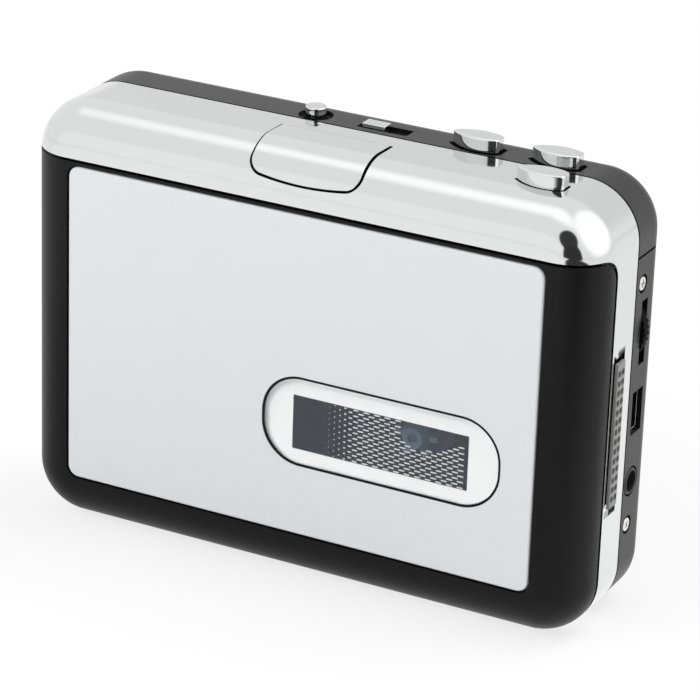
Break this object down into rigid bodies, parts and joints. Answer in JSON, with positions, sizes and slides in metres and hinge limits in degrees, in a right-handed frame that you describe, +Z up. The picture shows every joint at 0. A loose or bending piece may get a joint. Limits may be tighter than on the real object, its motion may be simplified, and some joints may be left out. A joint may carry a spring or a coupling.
{
  "type": "usb cassette player",
  "caption": "Pocket cassette player with a hinged window lid, chrome keys along the top, a volume wheel, and USB and headphone sockets on the side.",
  "frame": {"origin": "centre of the underside that the player stands on", "axes": "+X to the right across the width, +Y from the lid to the back, +Z up to the keys"},
  "size_m": [0.1149, 0.03, 0.085],
  "materials": {
    "chrome": "bright chrome plating on moulded plastic",
    "rear_black": "black satin moulded plastic",
    "lid_black": "black satin moulded plastic",
    "silver_face": "pale silver, fine grain",
    "clear_window": "clear moulded plastic",
    "white_print": "white print on the window's rear",
    "dark_plastic": "black moulded plastic",
    "grey_plastic": "grey moulded plastic, ribbed",
    "silver_plastic": "silver moulded plastic",
    "white_nylon": "white nylon",
    "steel_plate": "stamped steel, zinc plated",
    "bright_steel": "turned steel, polished",
    "nickel": "nickel plated steel",
    "spring_steel": "drawn spring wire",
    "brass": "turned brass",
    "black_rubber": "black rubber",
    "board_green": "green lacquered board"
  },
  "bodies": {
    "body": {"chrome_bezel": "chrome", "rear_case": "rear_black", "top_panel": "rear_black", "well_floor": "dark_plastic", "battery_tray": "dark_plastic", "headphone_jack": "dark_plastic", "volume_pot": "dark_plastic", "mode_switch": "dark_plastic", "board_parts": "dark_plastic", "deck_plate": "steel_plate", "bridge_plate": "steel_plate", "key_rail": "steel_plate", "motor": "steel_plate", "bridge_posts": "bright_steel", "reel_posts": "bright_steel", "hinge_pin": "bright_steel", "deck_screws": "nickel", "case_screws": "nickel", "usb_socket": "nickel", "battery_contacts": "nickel", "battery_spring": "spring_steel", "stop_spring": "spring_steel", "rewind_spring": "spring_steel", "forward_spring": "spring_steel", "direction_spring": "spring_steel", "head_spring": "spring_steel", "capstan_bushes": "brass", "drive_belt": "black_rubber", "circuit_board": "board_green"},
    "lid": {"lid_shell": "lid_black", "lid_panel": "silver_face", "window_lens": "clear_window", "window_print": "white_print", "cassette_springs": "spring_steel"},
    "play_key": {"play_key": "chrome"},
    "stop_key": {"stop_key": "chrome"},
    "rewind_key": {"rewind_key": "chrome"},
    "forward_key": {"forward_key": "chrome"},
    "direction_button": {"direction_button": "chrome"},
    "mode_knob": {"mode_knob": "silver_plastic"},
    "open_slider": {"open_slider": "grey_plastic"},
    "volume_wheel": {"volume_wheel": "dark_plastic"},
    "battery_door": {"battery_door": "rear_black"},
    "head_carriage": {"head_plate": "steel_plate", "tape_head": "bright_steel", "pinch_arms": "steel_plate"},
    "left_pinch": {"left_pinch_roller": "black_rubber"},
    "right_pinch": {"right_pinch_roller": "black_rubber"},
    "left_drive": {"left_capstan": "bright_steel", "left_flywheel": "brass"},
    "right_drive": {"right_capstan": "bright_steel", "right_flywheel": "brass", "drive_pinion": "white_nylon"},
    "motor_rotor": {"motor_pulley": "brass"},
    "idler": {"idler_gear": "white_nylon"},
    "supply_reel": {"supply_spindle": "white_nylon", "supply_gear": "white_nylon"},
    "takeup_reel": {"takeup_spindle": "white_nylon", "takeup_gear": "white_nylon"}
  },
  "joints": [
    {"name": "lid_swing", "type": "hinge", "parent": "body", "child": "lid", "pos_m": [-0.0548, -0.006, 0.039], "axis": [0, 0, -1], "range_deg": [0, 95]},
    {"name": "head_slide", "type": "slide", "parent": "body", "child": "head_carriage", "axis": [0, 0, -1], "range_m": [0, 0.007], "stiffness_N_per_m": 120, "springref_m": -0.006, "deforming": ["head_spring"]},
    {"name": "play_press", "type": "slide", "parent": "body", "child": "play_key", "axis": [0, 0.7071, -0.7071], "range_m": [0, 0.002]},
    {"name": "stop_press", "type": "slide", "parent": "body", "child": "stop_key", "axis": [0, 0, -1], "range_m": [0, 0.0018], "stiffness_N_per_m": 300, "springref_m": -0.0025, "deforming": ["stop_spring"]},
    {"name": "rewind_press", "type": "slide", "parent": "body", "child": "rewind_key", "axis": [0, 0, -1], "range_m": [0, 0.0018], "stiffness_N_per_m": 300, "springref_m": -0.0025, "deforming": ["rewind_spring"]},
    {"name": "forward_press", "type": "slide", "parent": "body", "child": "forward_key", "axis": [0, 0, -1], "range_m": [0, 0.0018], "stiffness_N_per_m": 300, "springref_m": -0.0025, "deforming": ["forward_spring"]},
    {"name": "direction_press", "type": "slide", "parent": "body", "child": "direction_button", "axis": [0, 0, -1], "range_m": [0, 0.0018], "stiffness_N_per_m": 300, "springref_m": -0.0025, "deforming": ["direction_spring"]},
    {"name": "mode_slide", "type": "slide", "parent": "body", "child": "mode_knob", "axis": [1, 0, 0], "range_m": [0, 0.0044]},
    {"name": "open_slide", "type": "slide", "parent": "body", "child": "open_slider", "axis": [0, 0, 1], "range_m": [0, 0.002], "stiffness_N_per_m": 300, "springref_m": -0.0025},
    {"name": "volume_turn", "type": "hinge", "parent": "body", "child": "volume_wheel", "pos_m": [0.0503, 0.0072, 0.054], "axis": [0, 1, 0], "range_deg": [-140, 140]},
    {"name": "battery_door_lift", "type": "slide", "parent": "body", "child": "battery_door", "axis": [0, 1, 0], "range_m": [0, 0.025]},
    {"name": "right_capstan_spin", "type": "hinge", "parent": "body", "child": "right_drive", "pos_m": [0.02125, 0, 0.0584], "axis": [0, 1, 0], "continuous": true},
    {"name": "left_capstan_spin", "type": "hinge", "parent": "body", "child": "left_drive", "pos_m": [-0.02125, 0, 0.0584], "axis": [0, 1, 0], "continuous": true},
    {"name": "motor_spin", "type": "hinge", "parent": "body", "child": "motor_rotor", "pos_m": [-0.0428, 0, 0.036], "axis": [0, 1, 0], "continuous": true},
    {"name": "idler_spin", "type": "hinge", "parent": "body", "child": "idler", "pos_m": [0.02125, 0, 0.047], "axis": [0, 1, 0], "continuous": true},
    {"name": "takeup_spin", "type": "hinge", "parent": "body", "child": "takeup_reel", "pos_m": [0.02125, 0, 0.0314], "axis": [0, 1, 0], "continuous": true},
    {"name": "supply_spin", "type": "hinge", "parent": "body", "child": "supply_reel", "pos_m": [-0.02125, 0, 0.0314], "axis": [0, 1, 0], "continuous": true},
    {"name": "left_pinch_spin", "type": "hinge", "parent": "head_carriage", "child": "left_pinch", "pos_m": [-0.02125, 0, 0.0716], "axis": [0, 1, 0], "continuous": true},
    {"name": "right_pinch_spin", "type": "hinge", "parent": "head_carriage", "child": "right_pinch", "pos_m": [0.02125, 0, 0.0716], "axis": [0, 1, 0], "continuous": true}
  ],
  "couplings": [
    {"joint": "play_press", "follows": "head_slide", "ratio": 0.28571},
    {"joint": "left_capstan_spin", "follows": "right_capstan_spin", "ratio": -1},
    {"joint": "motor_spin", "follows": "right_capstan_spin", "ratio": 5.375},
    {"joint": "idler_spin", "follows": "right_capstan_spin", "ratio": -0.72727},
    {"joint": "takeup_spin", "follows": "right_capstan_spin", "ratio": 0.53333}
  ]
}
